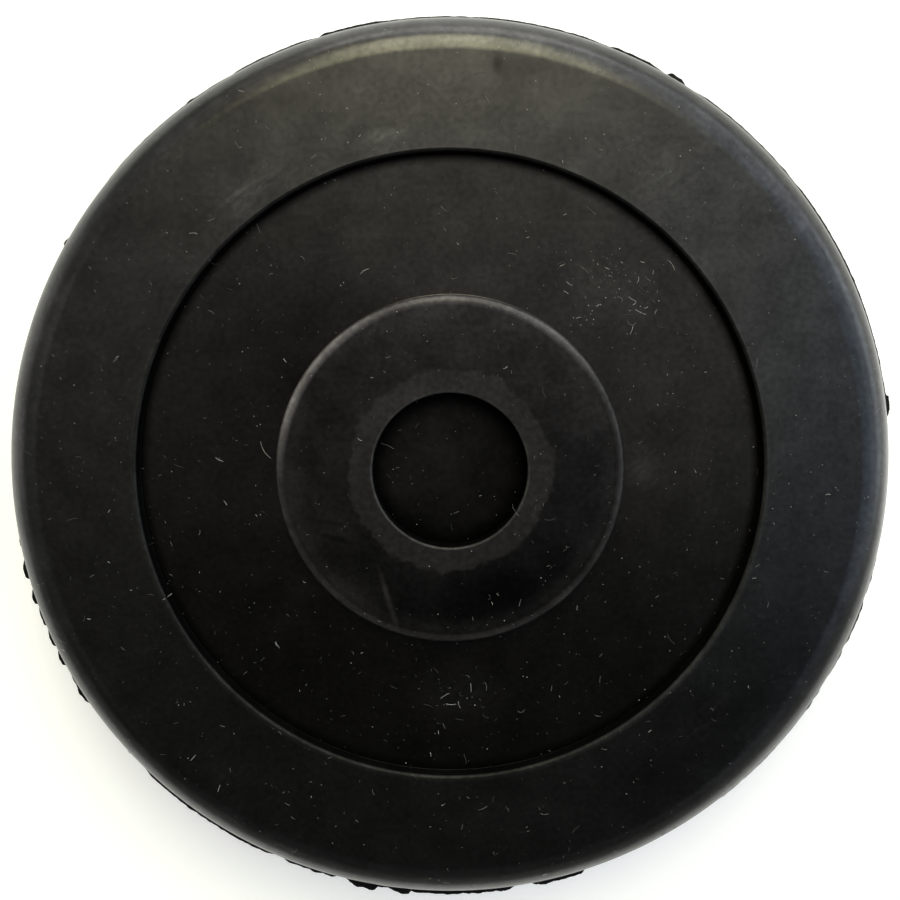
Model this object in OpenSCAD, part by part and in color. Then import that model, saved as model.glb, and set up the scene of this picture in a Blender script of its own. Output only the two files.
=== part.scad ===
// Round moulded rubber lift pad: one solid of black rubber.
// The face has a wide rim, a shallow ring-shaped recess, a centre boss and a blind socket.
// Origin at the centre of the flat underside, +Z up through the socket.

/* [Pad] */
// Width across the parting line, where the pad is widest
pad_d = 119.6; // [104:0.2:150]
// Height from the flat underside to the rim's face
pad_h = 20; // [14:0.5:34]
// Rounding between the rim's face and the parting line
edge_r = 5; // [2.5:0.25:7]
// Mould draft of the side wall below the parting line, in degrees
wall_draft = 2; // [0.5:0.5:6]
// Rounding between the side wall and the flat underside
foot_r = 1.5; // [0.5:0.25:3]

/* [Recess] */
// Width across the ring-shaped recess, at the rim's face
recess_d = 83.8; // [66:0.2:102]
// Depth of the recess below the rim's face
recess_depth = 2.3; // [1.5:0.1:6]
// Mould draft of the recess wall, in degrees
recess_draft = 2; // [0.5:0.5:10]
// Rounding of the lip between the rim's face and the recess wall
recess_lip_r = 0.4; // [0.2:0.1:1.2]
// Fillet in the corners of the recess floor
recess_fillet_r = 0.2; // [0.1:0.1:0.7]

/* [Boss] */
// Width across the boss, at its own face
boss_d = 46.5; // [34:0.5:60]
// Height of the boss's face above the rim's face
boss_proud = 0.7; // [0:0.1:2]
// Mould draft of the boss wall, in degrees
boss_draft = 1; // [0.5:0.5:10]
// Rounding of the boss's outer edge
boss_edge_r = 0.9; // [0.4:0.1:1.4]

/* [Socket] */
// Width across the blind socket
socket_d = 20.6; // [12:0.2:28]
// Depth of the socket below the boss's face
socket_depth = 3.5; // [2.5:0.25:10]
// Rounding of the socket's mouth
socket_lip_r = 0.3; // [0.2:0.1:1.2]
// Fillet round the socket's floor
socket_fillet_r = 0.2; // [0.1:0.1:1.2]

/* [Trimmed flash] */
// Thickness of the flash left at the parting line
flash_t = 0.35; // [0.2:0.05:0.6]
// Length of the stub that the trimming left all round
flash_stub = 0.2; // [0.1:0.05:0.4]
// Length of the longest strips that the trimming missed
flash_long = 1.4; // [0.8:0.1:1.8]
// Unevenness of the trimmed edge
flash_wave = 0.15; // [0.05:0.05:0.3]
// Number of short knife cuts round the pad
flash_cuts = 240; // [120:12:300]

/* [Hidden] */
$fn = 96;

pad_r = pad_d / 2;
parting_z = pad_h - edge_r;
floor_z = pad_h - recess_depth;
boss_z = pad_h + boss_proud;
socket_z = boss_z - socket_depth;

// Radii where the drafted walls meet the flat faces
foot_wall_r = pad_r - parting_z * tan(wall_draft);
recess_foot_r = recess_d / 2 - recess_depth * tan(recess_draft);
boss_foot_r = boss_d / 2 + (boss_z - floor_z) * tan(boss_draft);

// Corners of the half section, outwards from the axis: [radius, height, rounding]
section = [
    [0, 0, 0],
    [foot_wall_r, 0, foot_r],
    [pad_r, parting_z, 0],
    [pad_r, pad_h, edge_r],
    [recess_d / 2, pad_h, recess_lip_r],
    [recess_foot_r, floor_z, recess_fillet_r],
    [boss_foot_r, floor_z, recess_fillet_r],
    [boss_d / 2, boss_z, boss_edge_r],
    [socket_d / 2, boss_z, socket_lip_r],
    [socket_d / 2, socket_z, socket_fillet_r],
    [0, socket_z, 0],
];

function unit(v) = v / norm(v);
function cross2(a, b) = a.x * b.y - a.y * b.x;
function at(i) = let (c = section[i]) [c.x, c.y];
function turn(i) = cross2(at(i) - at(i - 1), at(i + 1) - at(i));

// The sliver between a corner of the section and its rounding arc
module corner_sliver(i) {
    tip = at(i);
    back = unit(at(i - 1) - tip);
    ahead = unit(at(i + 1) - tip);
    half = acos(back * ahead) / 2;
    run = section[i][2] / tan(half);
    centre = tip + unit(back + ahead) * section[i][2] / sin(half);
    difference() {
        polygon([tip, tip + back * run, centre, tip + ahead * run]);
        translate(centre) circle(section[i][2]);
    }
}

module rounded_section() {
    rounded = [for (i = [1 : len(section) - 2]) if (section[i][2] > 0) i];
    difference() {
        union() {
            polygon([for (c = section) [c.x, c.y]]);
            for (i = rounded) if (turn(i) < 0) corner_sliver(i);
        }
        for (i = rounded) if (turn(i) > 0) corner_sliver(i);
    }
}

// Repeatable scatter from 0 to 1 for the hand-trimmed edge
function scatter(i) = let (s = 1000 * sin(i * 37.7)) s - floor(s);

// The strips that the trimming missed: [first angle, last angle, share of flash_long]
missed_strips = [
    [5, 38, 0.45], [57, 61, 0.5], [63, 67, 0.5], [69, 86, 0.3], [95, 102, 0.35],
    [125, 127, 0.4], [150, 152, 0.35], [194, 197, 0.6], [198, 202, 0.5], [204, 206, 0.5],
    [207, 209, 0.6], [210, 215, 0.55], [226, 257, 0.5], [257, 261, 1], [262, 265, 1],
    [265, 279, 0.75], [281, 288, 0.75], [309, 324, 0.3], [330, 334, 0.5], [335, 340, 0.6],
    [341, 347, 0.45],
];

function strip_share(a) =
    max([0, for (strip = missed_strips) if (a >= strip[0] && a < strip[1]) strip[2]]);
function flash_reach(i) =
    flash_stub
    + (flash_long - flash_stub) * strip_share(i * 360 / flash_cuts)
    + flash_wave * (scatter(i) - 0.5);

// Thin irregular fin at the parting line, where the mould halves met
module trimmed_flash() {
    root_r = pad_r - 3 * flash_t;
    translate([0, 0, parting_z - flash_t])
        linear_extrude(flash_t)
            difference() {
                polygon([
                    for (i = [0 : flash_cuts - 1])
                        let (a = i * 360 / flash_cuts, far = pad_r + flash_reach(i))
                        [far * cos(a), far * sin(a)]
                ]);
                circle(root_r);
            }
}

module pad() {
    color([0.10, 0.10, 0.10]) {
        rotate_extrude() rounded_section();
        trimmed_flash();
    }
}

pad();
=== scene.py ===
from math import atan2, cos, degrees, pi, radians, sin, sqrt
from random import Random

import bmesh
import bpy
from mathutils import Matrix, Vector, noise


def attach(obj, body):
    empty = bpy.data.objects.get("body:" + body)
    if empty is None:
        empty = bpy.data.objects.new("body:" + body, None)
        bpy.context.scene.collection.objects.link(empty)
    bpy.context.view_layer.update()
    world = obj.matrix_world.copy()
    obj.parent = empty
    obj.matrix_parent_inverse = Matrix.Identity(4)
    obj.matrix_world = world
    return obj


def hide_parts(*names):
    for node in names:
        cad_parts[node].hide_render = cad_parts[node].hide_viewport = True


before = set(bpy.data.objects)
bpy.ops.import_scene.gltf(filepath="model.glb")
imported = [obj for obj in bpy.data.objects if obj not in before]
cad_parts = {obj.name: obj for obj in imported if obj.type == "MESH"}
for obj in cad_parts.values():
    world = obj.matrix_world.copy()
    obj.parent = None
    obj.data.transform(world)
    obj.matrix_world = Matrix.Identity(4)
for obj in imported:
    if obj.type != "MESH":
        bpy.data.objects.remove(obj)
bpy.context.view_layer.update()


# ---- The pad's body ---------------------------------------------------------
# One disc of black rubber, pressed hot in a two-part mould. Its face has a broad
# rim, a ring-shaped recess, a centre boss and a blind socket; its back is flat.

# Distances from the axis, from the outside in
pad_radius = 0.0598
side_foot = 0.05928
recess_mouth = 0.04188
recess_foot = 0.04180
boss_foot = 0.02330
boss_edge = 0.02326
socket_mouth = 0.01032
socket_foot = 0.01030

# Heights above the table
parting_line = 0.015
rim_face = 0.020
recess_floor = 0.0177
boss_face = 0.02064
socket_floor = 0.0172

rim_rounding = 0.0050
spin_steps = 512

# Corners of the half section: distance from the axis, height, rounding, segments
section_corners = [
    (0.0, 0.0, 0.0, 0),
    (side_foot, 0.0, 0.0015, 8),
    (pad_radius, parting_line, 0.0, 0),
    (pad_radius, rim_face, rim_rounding, 32),
    (recess_mouth, rim_face, 0.0004, 8),
    (recess_foot, recess_floor, 0.0001, 3),
    (boss_foot, recess_floor, 0.0001, 3),
    (boss_edge, boss_face, 0.0009, 12),
    (socket_mouth, boss_face, 0.0003, 6),
    (socket_foot, socket_floor, 0.0001, 3),
    (0.0, socket_floor, 0.0, 0),
]

body = bmesh.new()
corner_vertices = [body.verts.new((r, 0.0, z)) for r, z, _, _ in section_corners]
for first, second in zip(corner_vertices, corner_vertices[1:]):
    body.edges.new((first, second))
for corner, (_, _, rounding, segments) in zip(corner_vertices, section_corners):
    if segments:
        bmesh.ops.bevel(
            body, geom=[corner], offset=rounding, offset_type="OFFSET", affect="VERTICES",
            segments=segments, profile=0.5, material=-1,
        )
# A vertex close to each end of the long flats, so that smooth shading leaves them flat
shortest_flat = 0.0003
end_margin = 0.00002
for flat in [edge for edge in body.edges if edge.calc_length() > shortest_flat]:
    near_end, far_end = flat.verts
    share = end_margin / flat.calc_length()
    added_vertex = bmesh.utils.edge_split(flat, near_end, share)[1]
    longer_part = max(added_vertex.link_edges, key=lambda edge: edge.calc_length())
    bmesh.utils.edge_split(longer_part, far_end, share)
bmesh.ops.spin(
    body, geom=body.verts[:] + body.edges[:], cent=(0, 0, 0), axis=(0, 0, 1),
    angle=2 * pi, steps=spin_steps, use_merge=True, use_duplicate=False,
)
bmesh.ops.remove_doubles(body, verts=body.verts[:], dist=1e-7)
bmesh.ops.recalc_face_normals(body, faces=body.faces[:])

# The mould was polished unevenly, and the edges have been rubbed, so each face of it
# has a finish of its own; the lighter lip and socket mouth are painted highlight as well
# as wear. These are the distances from the axis where they start.
rim_start = 0.0423
lip_start = 0.04182
recess_start = boss_foot
boss_start = 0.01064
mouth_start = 0.01031
walls_start = 0.0095
rim, recess, boss, socket, wall, lip, mouth = range(7)
for face in body.faces:
    distance = face.calc_center_median().xy.length
    upright = abs(face.normal.z) < 0.2
    if distance > rim_start:
        face.material_index = rim
    elif upright and distance > walls_start:
        face.material_index = wall
    elif distance > lip_start:
        face.material_index = lip
    elif distance > recess_start:
        face.material_index = recess
    elif distance > boss_start:
        face.material_index = boss
    elif distance > mouth_start:
        face.material_index = mouth
    else:
        face.material_index = socket
pad_mesh = bpy.data.meshes.new("pad_body")
body.to_mesh(pad_mesh)
body.free()
pad_mesh.shade_smooth()
pad_body = bpy.data.objects.new("pad_body", pad_mesh)
bpy.context.collection.objects.link(pad_body)


def noise_field(nodes, links, place, scale, detail):
    """Noise over the pad, nearly all of it from 0.3 to 0.7; scale is in patches per metre."""
    field = nodes.new("ShaderNodeTexNoise")
    field.inputs["Scale"].default_value = scale
    field.inputs["Detail"].default_value = detail
    links.new(place, field.inputs["Vector"])
    return field.outputs["Fac"]


def between(nodes, links, value, low, high, at_low, at_high):
    """Map a value from low..high to at_low..at_high, held at both ends."""
    mapping = nodes.new("ShaderNodeMapRange")
    mapping.inputs["From Min"].default_value = low
    mapping.inputs["From Max"].default_value = high
    mapping.inputs["To Min"].default_value = at_low
    mapping.inputs["To Max"].default_value = at_high
    links.new(value, mapping.inputs["Value"])
    return mapping.outputs["Result"]


def calculate(nodes, links, operation, first, second):
    """One step of arithmetic between two values, each a socket or a plain number."""
    step = nodes.new("ShaderNodeMath")
    step.operation = operation
    for socket_index, operand in enumerate((first, second)):
        if isinstance(operand, (int, float)):
            step.inputs[socket_index].default_value = operand
        else:
            links.new(operand, step.inputs[socket_index])
    return step.outputs[0]


def oval(nodes, links, place, patch, strength):
    """Strength inside a soft oval, 0 outside: middle x and y, turn, half length, half width."""
    x, y, turn, half_length, half_width = patch
    mapping = nodes.new("ShaderNodeMapping")
    mapping.vector_type = "TEXTURE"
    mapping.inputs["Location"].default_value = (x, y, 0)
    mapping.inputs["Rotation"].default_value = (0, 0, radians(turn))
    mapping.inputs["Scale"].default_value = (half_length, half_width, 1)
    links.new(place, mapping.inputs["Vector"])
    from_middle = nodes.new("ShaderNodeVectorMath")
    from_middle.operation = "LENGTH"
    links.new(mapping.outputs["Vector"], from_middle.inputs[0])
    return between(nodes, links, from_middle.outputs["Value"], 0.15, 1.0, strength, 0.0)


def uneven(nodes, links, place, scale, detail, middle, swing):
    """Noise that swings to both sides of a middle value."""
    field = noise_field(nodes, links, place, scale, detail)
    return between(nodes, links, field, 0.3, 0.7, middle - swing, middle + swing)


def ring_band(nodes, links, from_axis, band):
    """1 in a ring round the axis: the radii where it starts, is full, still full, and ends."""
    start, full, still_full, end = band
    rise = between(nodes, links, from_axis, start, full, 0.0, 1.0)
    fall = between(nodes, links, from_axis, still_full, end, 1.0, 0.0)
    return calculate(nodes, links, "MULTIPLY", rise, fall)


def moulded_rubber(name, tint, colour, specular, roughness, cloudiness, flecking, scuffing=0.1,
                   bloom=None, rings=(), rubs_and_highlights=(), smudges=(), dull_and_shaded_marks=(), shine_fade=None):
    """Black rubber as one face of the mould left it, mottled and filmed with dust.

    Tint is how pale the rubber is, and colour leans the grey of it and of its shine.
    Cloudiness and flecking are how far coarse and fine mottling swing, and scuffing how
    far scuffs do in the smudges. Bloom is a ring with a ragged border. Rings, rubs and
    smudges add a tint to a band, to a band inside an oval and to an oval; on the edges
    the rings and rubs are rubbed wear and a painted highlight in one. Dull and shaded
    marks are ovals that take a share of the shine; one of them is painted shade. The
    shine fade is the pair of distances from the axis between which the shine fades, and
    the share that is left; at the foot of a wall it is painted shade.
    """
    rubber = bpy.data.materials.new(name)
    rubber.use_nodes = True
    nodes, links = rubber.node_tree.nodes, rubber.node_tree.links
    shader = nodes["Principled BSDF"]
    place = nodes.new("ShaderNodeTexCoord").outputs["Object"]
    flat_place = nodes.new("ShaderNodeVectorMath")
    flat_place.operation = "MULTIPLY"
    flat_place.inputs[1].default_value = (1, 1, 0)
    links.new(place, flat_place.inputs[0])
    axis_distance = nodes.new("ShaderNodeVectorMath")
    axis_distance.operation = "LENGTH"
    flat = flat_place.outputs[0]
    links.new(flat, axis_distance.inputs[0])
    from_axis = axis_distance.outputs["Value"]

    # Cloudy patches some 5 mm wide, flecks under 1 mm, and slanting scuffs 4 mm long
    clouds = uneven(nodes, links, place, scale=200, detail=5, middle=1, swing=cloudiness)
    flecks = uneven(nodes, links, place, scale=1300, detail=1, middle=1, swing=flecking)
    mottle = calculate(nodes, links, "MULTIPLY", clouds, flecks)
    turned_place = nodes.new("ShaderNodeVectorRotate")
    turned_place.rotation_type = "Z_AXIS"
    turned_place.inputs["Angle"].default_value = radians(-38)
    links.new(place, turned_place.inputs["Vector"])
    stretched_place = nodes.new("ShaderNodeVectorMath")
    stretched_place.operation = "MULTIPLY"
    stretched_place.inputs[1].default_value = (1, 7, 1)
    links.new(turned_place.outputs["Vector"], stretched_place.inputs[0])
    scuffs = noise_field(nodes, links, stretched_place.outputs[0], scale=260, detail=3)
    scuffs = between(nodes, links, scuffs, 0.45, 0.65, 1 - scuffing, 1 + scuffing)

    shader.inputs["Specular IOR Level"].default_value = specular
    shine = calculate(nodes, links, "MULTIPLY", mottle, specular)
    # Dull and shaded marks and the shine fade take shine away; in the recess and the socket this
    # darkening is painted shade.
    for *patch, dulling in dull_and_shaded_marks:
        dulled = calculate(nodes, links, "SUBTRACT", 1, oval(nodes, links, flat, patch, dulling))
        shine = calculate(nodes, links, "MULTIPLY", shine, dulled)
    if shine_fade:
        fading_from, faded_at, shine_left = shine_fade
        fade = between(nodes, links, from_axis, fading_from, faded_at, 1.0, shine_left)
        shine = calculate(nodes, links, "MULTIPLY", shine, fade)
    links.new(shine, shader.inputs["Specular IOR Level"])
    shader.inputs["Specular Tint"].default_value = (*colour, 1)
    shader.inputs["Roughness"].default_value = roughness

    # The rubber's own colour, with the rings, rubs, smudges and bloom on it; rings and rubs on the
    # edges are partly a painted highlight
    shade = tint
    for *band, added_tint in rings:
        ring = ring_band(nodes, links, from_axis, band)
        ring = calculate(nodes, links, "MULTIPLY", ring, added_tint)
        shade = calculate(nodes, links, "ADD", ring, shade)
    for patch, band, added_tint in rubs_and_highlights:
        rub_and_highlight = ring_band(nodes, links, from_axis, band)
        rub_and_highlight = calculate(nodes, links, "MULTIPLY", rub_and_highlight, oval(nodes, links, flat, patch, added_tint))
        shade = calculate(nodes, links, "ADD", rub_and_highlight, shade)
    for *patch, added_tint in smudges:
        smudge = oval(nodes, links, flat, patch, added_tint)
        smudge = calculate(nodes, links, "MULTIPLY", smudge, scuffs)
        shade = calculate(nodes, links, "ADD", smudge, shade)
    shade = calculate(nodes, links, "MULTIPLY", mottle, shade)
    if bloom:
        *band, added_tint = bloom
        ragged = uneven(nodes, links, place, scale=560, detail=6, middle=0, swing=0.00055)
        border = calculate(nodes, links, "ADD", from_axis, ragged)
        film = ring_band(nodes, links, border, band)
        film = calculate(nodes, links, "MULTIPLY", film, flecks)
        film = calculate(nodes, links, "MULTIPLY", film, added_tint)
        shade = calculate(nodes, links, "ADD", film, shade)
    base = nodes.new("ShaderNodeVectorMath")
    base.operation = "SCALE"
    base.inputs[0].default_value = colour
    links.new(shade, base.inputs["Scale"])
    links.new(base.outputs[0], shader.inputs["Base Color"])

    # A grain of a few thousandths of a millimetre breaks up the shine
    grain = nodes.new("ShaderNodeBump")
    grain.inputs["Strength"].default_value = 1.0
    grain.inputs["Distance"].default_value = 0.000004
    grain_height = noise_field(nodes, links, place, scale=450, detail=6)
    links.new(grain_height, grain.inputs["Height"])
    links.new(grain.outputs["Normal"], shader.inputs["Normal"])
    return rubber


# Leanings of the grey
neutral = (1.0, 0.98, 0.985)
brownish = (1.0, 0.95, 0.92)
purplish = (1.0, 0.94, 0.985)
# Ovals: x, y, turn in degrees, half length, half width, then the tint or the dulling.
# Rubs: an oval, a band as in ring_band, and the tint; on the edges they are rubbed wear and a
# painted highlight.
rim_smudges = [
    (-0.0262, 0.0368, 38, 0.0060, 0.0028, 0.020),
    (-0.0080, 0.0440, 10, 0.0040, 0.0012, 0.020),
    (0.0281, 0.0379, 0, 0.0045, 0.0045, 0.010),
    (-0.0300, -0.0420, -40, 0.0070, 0.0040, 0.0016),
    (0.0345, -0.0340, 45, 0.0070, 0.0030, 0.0022),
]
# A rub lightens the recess lip on the lower right: rubbed wear and a painted highlight.
rim_rubs_and_highlight = [((0.0330, -0.0240, 0, 0.0300, 0.0300), (0.0414, 0.0415, 0.0423, 0.0428), 0.009)]
rim_dull_marks = [
    (0.0345, -0.0345, 45, 0.0300, 0.0085, 0.45),
    (0.0062, 0.0530, 90, 0.0018, 0.0009, 0.42),
    (0.0105, 0.0526, 0, 0.0060, 0.0022, 0.25),
    (-0.0125, 0.0440, 20, 0.0022, 0.0014, 0.30),
    (-0.0060, 0.0500, 70, 0.0030, 0.0020, 0.15),
]
recess_smudges = [
    (0.0258, 0.0002, 90, 0.0040, 0.0026, 0.010),
    (0.0214, 0.0246, 0, 0.0080, 0.0080, 0.005),
    (0.0014, -0.0314, 0, 0.0075, 0.0060, 0.003),
]
# Painted shade: the recess floor left of the boss loses half its shine, where the boss shades it.
recess_painted_shade = [(-0.0190, 0.0120, 0, 0.0180, 0.0180, 0.50)]
boss_smudges = [
    (-0.0185, -0.0020, 90, 0.0150, 0.0090, 0.003),
    (-0.0040, 0.0195, 0, 0.0170, 0.0075, 0.007),
    (0.0150, 0.0120, -45, 0.0100, 0.0070, 0.002),
    (-0.0030, 0.0085, 0, 0.0120, 0.0080, 0.004),
    (-0.0082, -0.0175, -73, 0.0060, 0.0005, 0.012),
    (-0.0140, -0.0165, -50, 0.0060, 0.0040, 0.004),
]
boss_dull_marks = [
    (-0.0150, -0.0092, -14, 0.0032, 0.0005, 0.60),
    (-0.0160, -0.0069, -8, 0.0024, 0.0004, 0.50),
    (0.0080, -0.0160, 20, 0.0170, 0.0070, 0.60),
]
# A lighter band painted along the boss's edge, strongest on the upper side towards the window
# lamps: rubbed wear and a painted highlight in one.
boss_edge_band = (0.0218, 0.02285, 0.0229, 0.0233)
boss_rubs_and_highlight = [
    ((0.0114, 0.0197, 0, 0.0150, 0.0150), boss_edge_band, 0.062),
    ((-0.0040, 0.0223, 0, 0.0130, 0.0130), boss_edge_band, 0.048),
    ((-0.0190, 0.0124, 0, 0.0145, 0.0145), boss_edge_band, 0.130),
]
socket_smudges = [(-0.0030, 0.0015, 0, 0.0090, 0.0090, 0.0036)]
pad_mesh.materials.append(moulded_rubber(
    "rim_rubber", tint=0.0014, colour=neutral, specular=0.58, roughness=0.27,
    cloudiness=0.20, flecking=0.15, scuffing=0.6,
    # The ring lightens the rim beside the recess lip: rubbed wear and a painted highlight.
    rings=[(0.0418, 0.0421, 0.0423, 0.0428, 0.004)],
    rubs_and_highlights=rim_rubs_and_highlight, smudges=rim_smudges, dull_and_shaded_marks=rim_dull_marks))
pad_mesh.materials.append(moulded_rubber(
    "recess_rubber", tint=0.0010, colour=brownish, specular=0.40, roughness=0.24,
    cloudiness=0.20, flecking=0.15, scuffing=0.3,
    # Towards the foot of the outer wall the floor's shine fades to a tenth: painted shade.
    smudges=recess_smudges, dull_and_shaded_marks=recess_painted_shade, shine_fade=(0.0404, 0.0417, 0.1)))
pad_mesh.materials.append(moulded_rubber(
    "boss_rubber", tint=0.0004, colour=purplish, specular=0.28, roughness=0.30,
    cloudiness=0.28, flecking=0.19, bloom=(0.0, 0.001, 0.0133, 0.0138, 0.0088),
    # The rings paint a paler shoulder inside the boss's edge and a thin light line at it: rubbed
    # wear and a painted highlight.
    rings=[(0.0198, 0.0212, 0.0229, 0.0233, 0.003), (0.0220, 0.0228, 0.0230, 0.0233, 0.021)],
    rubs_and_highlights=boss_rubs_and_highlight, smudges=boss_smudges, dull_and_shaded_marks=boss_dull_marks,
    # The shine fades at the start of the edge's rounding, so that its highlight looks narrower.
    shine_fade=(0.0217, 0.0225, 0.35)))
pad_mesh.materials.append(moulded_rubber(
    "socket_rubber", tint=0.0005, colour=purplish, specular=0.10, roughness=0.40,
    # Towards the foot of the socket's wall the shine fades to a tenth: painted shade.
    cloudiness=0.32, flecking=0.16, smudges=socket_smudges, shine_fade=(0.0080, 0.0102, 0.1)))
pad_mesh.materials.append(moulded_rubber(
    "wall_rubber", tint=0.0018, colour=neutral, specular=0.02, roughness=0.60,
    cloudiness=0.32, flecking=0.12))
# The recess lip's rounding is paler than the rim: rubbed wear and a painted highlight along the
# edge.
pad_mesh.materials.append(moulded_rubber(
    "rubbed_lip_and_highlight", tint=0.005, colour=neutral, specular=0.16, roughness=0.50,
    cloudiness=0.32, flecking=0.20, rubs_and_highlights=rim_rubs_and_highlight))
# The socket mouth's rounding is much paler all round: rubbed wear and a painted highlight along
# the edge.
pad_mesh.materials.append(moulded_rubber(
    "rubbed_mouth_and_highlight", tint=0.022, colour=neutral, specular=0.22, roughness=0.50,
    cloudiness=0.32, flecking=0.20))

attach(pad_body, "root")
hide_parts("pad")


# ---- Trimmed flash ----------------------------------------------------------
# The thin fin that rubber forms where the mould halves meet. A knife took most
# of it off, and left a ragged stub with longer strips and torn lobes.

flash_steps = 2048
flash_root = pad_radius - 0.0004
flash_stub = 0.00015
flash_thickness = 0.00030

# First angle, last angle, reach in metres, share of its width that the start takes to swell
missed_strips = [
    (6.3, 9.5, 0.00074, 0.35),
    (6.9, 23.8, 0.00040, 0.05),
    (21.8, 40.5, 0.00044, 0.02),
    (38.5, 57.1, 0.00034, 0.02),
    (58.4, 61.1, 0.00058, 0.3),
    (61.5, 69.3, 0.00046, 0.3),
    (68.7, 88.1, 0.00034, 0.2),
    (86.1, 98.7, 0.00030, 0.2),
    (96.8, 101.4, 0.00043, 0.6),
    (99.7, 106.9, 0.00042, 0.1),
    (106.9, 119.0, 0.00035, 0.2),
    (118.5, 141.0, 0.00028, 0.1),
    (124.3, 125.9, 0.00044, 0.4),
    (148.9, 150.1, 0.00042, 0.4),
    (189.3, 190.7, 0.00044, 0.3),
    (192.2, 195.2, 0.00080, 0.4),
    (196.2, 198.7, 0.00086, 0.5),
    (198.5, 201.8, 0.00062, 0.4),
    (201.8, 204.8, 0.00076, 0.5),
    (204.8, 207.6, 0.00082, 0.6),
    (208.2, 213.6, 0.00082, 0.6),
    (221.4, 222.2, 0.00050, 0.5),
    (224.2, 246.9, 0.00078, 0.1),
    (246.9, 255.1, 0.00076, 0.1),
    (255.5, 260.5, 0.00136, 0.4),
    (258.6, 265.9, 0.00080, 0.2),
    (260.7, 265.0, 0.00138, 0.6),
    (263.8, 279.3, 0.00100, 0.1),
    (280.9, 288.6, 0.00098, 0.08),
    (307.5, 330.6, 0.00054, 0.1),
    (330.6, 335.2, 0.00052, 0.1),
    (334.9, 342.2, 0.00056, 0.2),
    (342.2, 348.4, 0.00044, 0.1),
]


def flash_reach(angle):
    """How far the fin stands out at an angle in degrees."""
    slow_waves = 0.22 * noise.noise(Vector((angle * 0.9, 3.1, 0)))
    small_nicks = 0.12 * noise.noise(Vector((angle * 4.0, 8.3, 0)))
    roundness = 0.7
    tapering = 0.12
    reach = flash_stub
    for start, end, length, swelling in missed_strips:
        if start <= angle <= end:
            along = (angle - start) / (end - start)
            swell = min(1, along / swelling) ** roundness
            taper = min(1, (1 - along) / tapering) ** roundness
            reach = max(reach, flash_stub + (length - flash_stub) * swell * taper)
    return reach * (1 + slow_waves + small_nicks)


# The fin's section as if it stood out by one full reach all round: distance from the
# axis, and height from the parting line
full_reach = 0.001
fin_corners = [
    (flash_root, -flash_thickness),
    (flash_root, 0.0),
    (pad_radius + 0.5 * full_reach, -0.00006),
    (pad_radius + full_reach, -0.00013),
    (pad_radius + full_reach, -0.00020),
    (pad_radius + 0.5 * full_reach, -0.00028),
]
flash = bmesh.new()
fin_vertices = [flash.verts.new((r, 0, parting_line + z)) for r, z in fin_corners]
for first, second in zip(fin_vertices, fin_vertices[1:] + fin_vertices[:1]):
    flash.edges.new((first, second))
bmesh.ops.spin(
    flash, geom=flash.verts[:] + flash.edges[:], cent=(0, 0, 0), axis=(0, 0, 1),
    angle=2 * pi, steps=flash_steps, use_merge=True, use_duplicate=False,
)
bmesh.ops.remove_doubles(flash, verts=flash.verts[:], dist=1e-7)
# Each corner outside the body then moves to where the knife left it, and bends a little
for vertex in flash.verts:
    share = (vertex.co.xy.length - pad_radius) / full_reach
    if share > 0:
        angle = degrees(atan2(vertex.co.y, vertex.co.x)) % 360
        reach = flash_reach(angle)
        bend = 0.2 * reach * noise.noise(Vector((angle * 0.25, 0.7, 0)))
        vertex.co.xy = vertex.co.xy.normalized() * (pad_radius + share * reach)
        vertex.co.z += share * bend
bmesh.ops.recalc_face_normals(flash, faces=flash.faces[:])
flash_mesh = bpy.data.meshes.new("trimmed_flash")
flash.to_mesh(flash_mesh)
flash.free()
trimmed_flash = bpy.data.objects.new("trimmed_flash", flash_mesh)
bpy.context.collection.objects.link(trimmed_flash)

flash_rubber = bpy.data.materials.new("flash_rubber")
flash_rubber.use_nodes = True
flash_shader = flash_rubber.node_tree.nodes["Principled BSDF"]
flash_shader.inputs["Base Color"].default_value = (0.004, 0.004, 0.004, 1)
flash_shader.inputs["Roughness"].default_value = 0.7
flash_shader.inputs["Specular IOR Level"].default_value = 0.15
flash_mesh.materials.append(flash_rubber)

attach(trimmed_flash, "root")


# ---- Lint and dust ----------------------------------------------------------
# Short curved fibres and specks of dust that cling to the rubber. They lie
# everywhere on the face, with two denser tufts in the recess.

fibre_count = 420
fibre_radius = 0.000024
fibre_segments = 9
longest_fibre = 0.003
speck_count = 1700
lint_reach = 0.0585

# The levels of the face: height, where the level starts as a distance from the axis, and
# the furthest that lint lies on it, clear of the wall's foot or the rubbed edge
face_levels = [
    (rim_face, 0.0420, pad_radius),
    (recess_floor, 0.0234, 0.0415),
    (boss_face, 0.0104, 0.0224),
    (socket_floor, 0.0, 0.0100),
]


def surface_point(distance, angle):
    """Place on the face at a distance from the axis, and the surface normal there."""
    outward = Vector((cos(angle), sin(angle), 0))
    upward = Vector((0, 0, 1))
    rounding_centre = pad_radius - rim_rounding
    if distance > rounding_centre:
        lean = min((distance - rounding_centre) / rim_rounding, 0.8)
        normal = outward * lean + upward * sqrt(1 - lean * lean)
        return outward * rounding_centre + upward * parting_line + normal * rim_rounding, normal
    for height, level_start, furthest in face_levels:
        if distance >= level_start:
            return outward * min(distance, furthest) + upward * height, upward


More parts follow.
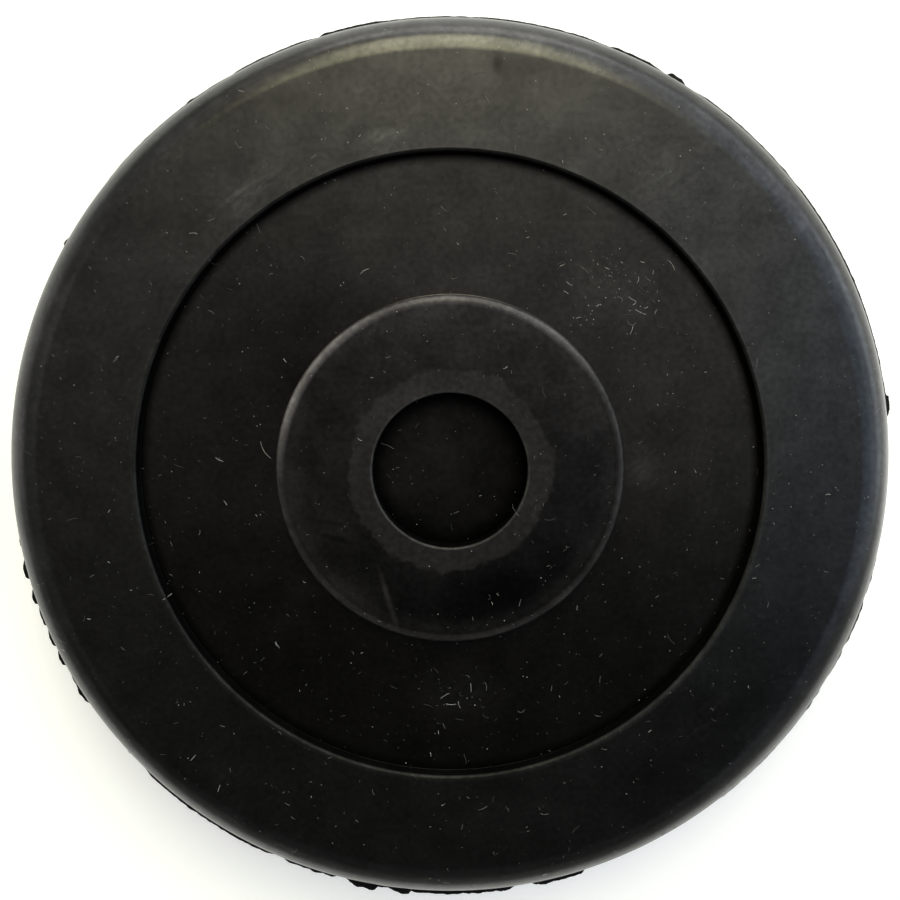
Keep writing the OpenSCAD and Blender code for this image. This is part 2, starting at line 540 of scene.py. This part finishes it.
def add_fibre(lint, start, length, bend, shade, heading):
    """A fibre of square section that sets off at a heading and follows an arc on the face."""
    path = [Vector(start)]
    for _ in range(fibre_segments):
        heading += bend / fibre_segments
        path.append(path[-1] + Vector((cos(heading), sin(heading))) * length / fibre_segments)
    rings = []
    for step, spot in enumerate(path):
        place, normal = surface_point(spot.length, atan2(spot.y, spot.x))
        ahead = path[min(step + 1, fibre_segments)] - path[max(step - 1, 0)]
        sideways = Vector((-ahead.y, ahead.x, 0)).normalized()
        thin = fibre_radius * (0.5 if step in (0, fibre_segments) else 1)
        lifted = place + normal * fibre_radius * 0.5
        rings.append([
            lint.verts.new(lifted + sideways * thin),
            lint.verts.new(lifted + normal * thin),
            lint.verts.new(lifted - sideways * thin),
            lint.verts.new(lifted - normal * thin),
        ])
    for ring, next_ring in zip(rings, rings[1:]):
        for corner in range(4):
            following = (corner + 1) % 4
            face = lint.faces.new(
                (ring[corner], ring[following], next_ring[following], next_ring[corner]))
            face.material_index = shade
    lint.faces.new(rings[0][::-1]).material_index = shade
    lint.faces.new(rings[-1]).material_index = shade


def add_speck(lint, chance, middle, size, shade):
    """A flat crumb of dust with five uneven corners."""
    place, normal = surface_point(middle.length, atan2(middle.y, middle.x))
    turn = chance.uniform(0, 2 * pi)
    corners = []
    for corner in range(5):
        spread = size * chance.uniform(0.7, 1.2)
        bearing = turn + corner * 2 * pi / 5
        corners.append(lint.verts.new(
            place + Vector((cos(bearing), sin(bearing), 0)) * spread + normal * 0.000012))
    top = lint.verts.new(place + normal * min(size * 0.8, 0.00005))
    bottom = lint.verts.new(place - normal * 0.00002)
    for corner in range(5):
        following = (corner + 1) % 5
        lint.faces.new((corners[corner], corners[following], top)).material_index = shade
        lint.faces.new((corners[following], corners[corner], bottom)).material_index = shade


def random_spot(chance):
    """A spot on the face; every part of it is as likely as its area."""
    distance = lint_reach * sqrt(chance.random())
    angle = chance.uniform(0, 2 * pi)
    return Vector((distance * cos(angle), distance * sin(angle)))


def tuft_spot(chance, centre, spread):
    """A spot in a tuft round a centre."""
    return Vector(centre) + Vector((chance.gauss(0, spread[0]), chance.gauss(0, spread[1])))


chance = Random(11)
lint = bmesh.new()
pale, grey, faint = range(3)
# Fibres all over the face, half of them under 0.55 mm long
for _ in range(fibre_count):
    shade = chance.choice((pale, grey, grey, grey, faint, faint, faint, faint, faint))
    length = min(chance.lognormvariate(-7.5, 0.5), longest_fibre)
    spot = random_spot(chance)
    add_fibre(lint, spot, length, chance.gauss(0, 0.8), shade, chance.uniform(0, 2 * pi))
# Fibres of the two tufts in the recess: how many, centre, spread along X and Y, longest fibre
for count, centre, spread, longest in (
    (32, (0.0224, 0.0238), (0.0042, 0.0034), 0.0018),
    (16, (0.0008, -0.0318), (0.0036, 0.0026), 0.0016),
):
    for _ in range(count):
        shade = chance.choice((pale, grey, faint))
        spot = tuft_spot(chance, centre, spread)
        length = chance.uniform(0.0003, longest)
        add_fibre(lint, spot, length, chance.gauss(0, 1.6), shade, chance.uniform(0, 2 * pi))
# Three fibres that stand out: one left of the boss, one in the socket, one beside it
add_fibre(lint, (-0.0255, 0.0037), 0.0028, 0.9, pale, radians(-88))
add_fibre(lint, (-0.0095, 0.0034), 0.0021, -0.4, grey, radians(-10))
add_fibre(lint, (-0.0122, 0.0044), 0.0007, 1.5, pale, radians(-80))
for _ in range(speck_count):
    shade = chance.choice((pale, grey, grey, faint))
    add_speck(lint, chance, random_spot(chance), chance.uniform(0.00002, 0.00007), shade)
# Crumbs caught in the tufts: how many, centre, spread along X and Y
for count, centre, spread in (
    (55, (0.0214, 0.0244), (0.0050, 0.0040)),
    (35, (0.0008, -0.0318), (0.0045, 0.0034)),
):
    for _ in range(count):
        spot = tuft_spot(chance, centre, spread)
        size = chance.uniform(0.00003, 0.00008)
        add_speck(lint, chance, spot, size, chance.choice((pale, grey)))
bmesh.ops.recalc_face_normals(lint, faces=lint.faces[:])
lint_mesh = bpy.data.meshes.new("lint")
lint.to_mesh(lint_mesh)
lint.free()
lint_piece = bpy.data.objects.new("lint", lint_mesh)
bpy.context.collection.objects.link(lint_piece)

for name, shade in (("pale_lint", 0.42), ("grey_lint", 0.16), ("faint_lint", 0.06)):
    fluff = bpy.data.materials.new(name)
    fluff.use_nodes = True
    fluff_shader = fluff.node_tree.nodes["Principled BSDF"]
    fluff_shader.inputs["Base Color"].default_value = (shade, shade, shade * 0.96, 1)
    fluff_shader.inputs["Roughness"].default_value = 0.9
    fluff_shader.inputs["Specular IOR Level"].default_value = 0.1
    lint_mesh.materials.append(fluff)

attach(lint_piece, "root")


# ---- Studio -----------------------------------------------------------------
# A round table of white paper with a low white wall round it, softboxes on all
# sides, and a camera that looks almost straight down. None of it is the object.

table_radius = 1.2
table_drop = 0.00005
wall_radius = 1.15
wall_height = 0.6

table_top = bmesh.new()
bmesh.ops.create_circle(table_top, cap_ends=True, segments=128, radius=table_radius)
bmesh.ops.translate(table_top, verts=table_top.verts[:], vec=(0, 0, -table_drop))
table_mesh = bpy.data.meshes.new("table_top")
table_top.to_mesh(table_mesh)
table_top.free()
table = bpy.data.objects.new("table_top", table_mesh)
bpy.context.collection.objects.link(table)

backdrop_wall = bmesh.new()
bmesh.ops.create_cone(
    backdrop_wall, cap_ends=False, segments=128, radius1=wall_radius, radius2=wall_radius,
    depth=wall_height)
wall_middle = wall_height / 2 - table_drop
bmesh.ops.translate(backdrop_wall, verts=backdrop_wall.verts[:], vec=(0, 0, wall_middle))
bmesh.ops.reverse_faces(backdrop_wall, faces=backdrop_wall.faces[:])
backdrop_mesh = bpy.data.meshes.new("backdrop")
backdrop_wall.to_mesh(backdrop_mesh)
backdrop_wall.free()
backdrop = bpy.data.objects.new("backdrop", backdrop_mesh)
bpy.context.collection.objects.link(backdrop)


def white_paper(name, shade, camera_glow, glossy_glow, painted_light_patches=()):
    """Matt white paper that keeps its shadows; a little glow keeps it white in view.

    Glossy glow is how bright it looks in the rubber's shine, and the painted light patches
    are painted pools of light, ovals where it looks brighter still in that shine.
    """
    paper = bpy.data.materials.new(name)
    paper.use_nodes = True
    nodes, links = paper.node_tree.nodes, paper.node_tree.links
    shader = nodes["Principled BSDF"]
    shader.inputs["Base Color"].default_value = (shade, shade, shade, 1)
    shader.inputs["Roughness"].default_value = 1.0
    shader.inputs["Specular IOR Level"].default_value = 0.0
    ray = nodes.new("ShaderNodeLightPath")
    in_view = calculate(nodes, links, "MULTIPLY", ray.outputs["Is Camera Ray"], camera_glow)
    place = nodes.new("ShaderNodeTexCoord").outputs["Object"]
    for *patch, added_glow in painted_light_patches:
        brighter = oval(nodes, links, place, patch, added_glow)
        glossy_glow = calculate(nodes, links, "ADD", brighter, glossy_glow)
    mirrored = calculate(nodes, links, "MULTIPLY", ray.outputs["Is Glossy Ray"], glossy_glow)
    glow = calculate(nodes, links, "MAXIMUM", in_view, mirrored)
    links.new(glow, shader.inputs["Emission Strength"])
    shader.inputs["Emission Color"].default_value = (1, 1, 1, 1)
    return paper


# Painted pools of light on the table, seen only in the rubber's shine: x, y, turn, half length,
# half width, added glow
table_painted_light_pools = [
    (0.100, 0.0, 0, 0.080, 0.035, 0.9),
    (0.0, 0.160, 90, 0.120, 0.050, 0.5),
]
table_mesh.materials.append(white_paper(
    "table_paper", shade=0.8, camera_glow=0.45, glossy_glow=0.42, painted_light_patches=table_painted_light_pools))
backdrop_mesh.materials.append(white_paper(
    "backdrop_paper", shade=0.45, camera_glow=0.85, glossy_glow=0.0))

studio = bpy.data.worlds.new("studio")
studio.use_nodes = True
studio.node_tree.nodes["Background"].inputs["Color"].default_value = (1, 1, 1, 1)
studio.node_tree.nodes["Background"].inputs["Strength"].default_value = 0.03
bpy.context.scene.world = studio


def add_softbox(name, zenith, azimuth, distance, width, height, radiance, tint):
    """Area light aimed at the pad, in degrees from straight above and from +X towards +Y."""
    light = bpy.data.lights.new(name, "AREA")
    light.shape = "RECTANGLE"
    light.size = width
    light.size_y = height
    light.energy = radiance * width * height * pi
    light.color = tint
    place = Vector((
        sin(radians(zenith)) * cos(radians(azimuth)),
        sin(radians(zenith)) * sin(radians(azimuth)),
        cos(radians(zenith)),
    )) * distance
    softbox = bpy.data.objects.new(name, light)
    softbox.location = place
    softbox.rotation_euler = (-place).to_track_quat("-Z", "Y").to_euler()
    softbox.visible_camera = False
    bpy.context.collection.objects.link(softbox)


# Zenith, azimuth, distance, width, height, radiance, tint
add_softbox("window", 38, 91, 1.0, 0.40, 0.70, 7.2, (1.0, 0.97, 0.64))
add_softbox("window_side", 54, 64, 1.0, 1.10, 0.75, 1.45, (0.93, 0.97, 1.0))
add_softbox("window_left", 57, 118, 1.0, 0.45, 0.60, 0.6, (1.0, 0.97, 0.85))
add_softbox("corner_low", 76, 42, 1.05, 0.80, 0.36, 0.9, (0.90, 0.95, 1.0))
add_softbox("ceiling", 16, 52, 1.0, 0.55, 0.55, 0.7, (0.98, 0.98, 0.95))
add_softbox("ceiling_left", 10, 160, 1.0, 0.36, 0.36, 0.27, (1.0, 0.97, 0.94))
add_softbox("right_wall", 42, 6, 1.0, 0.82, 0.75, 0.98, (0.64, 0.81, 1.0))
add_softbox("right_wall_low", 63, 6, 1.05, 1.00, 0.55, 0.60, (0.76, 0.87, 1.0))
add_softbox("right_low", 80, 8, 1.1, 1.10, 0.34, 2.2, (0.82, 0.91, 1.0))
add_softbox("far_low", 79, 88, 1.1, 1.10, 0.35, 3.4, (1.0, 0.99, 0.94))
add_softbox("left_wall", 45, 145, 1.0, 0.75, 0.72, 0.35, (1.0, 0.98, 0.97))
add_softbox("left_fill", 43, 188, 1.0, 0.65, 0.62, 0.25, (1.0, 0.99, 0.98))
add_softbox("left_low", 80, 172, 1.1, 0.90, 0.30, 0.7, (1.0, 0.98, 0.95))
add_softbox("front_fill", 46, 270, 1.0, 1.20, 0.50, 0.12, (0.96, 0.97, 1.0))
add_softbox("front_right", 50, 322, 1.0, 0.50, 0.50, 0.28, (0.88, 0.94, 1.0))

camera_data = bpy.data.cameras.new("camera")
camera_data.lens = 52.87
camera_data.sensor_width = 36.0
camera_data.clip_start = 0.01
camera = bpy.data.objects.new("camera", camera_data)
camera.location = (0, 0.0192, 0.195)
camera.rotation_euler = (radians(-5.38), 0, 0)
bpy.context.collection.objects.link(camera)
bpy.context.scene.camera = camera

bpy.context.scene.view_settings.view_transform = "Standard"
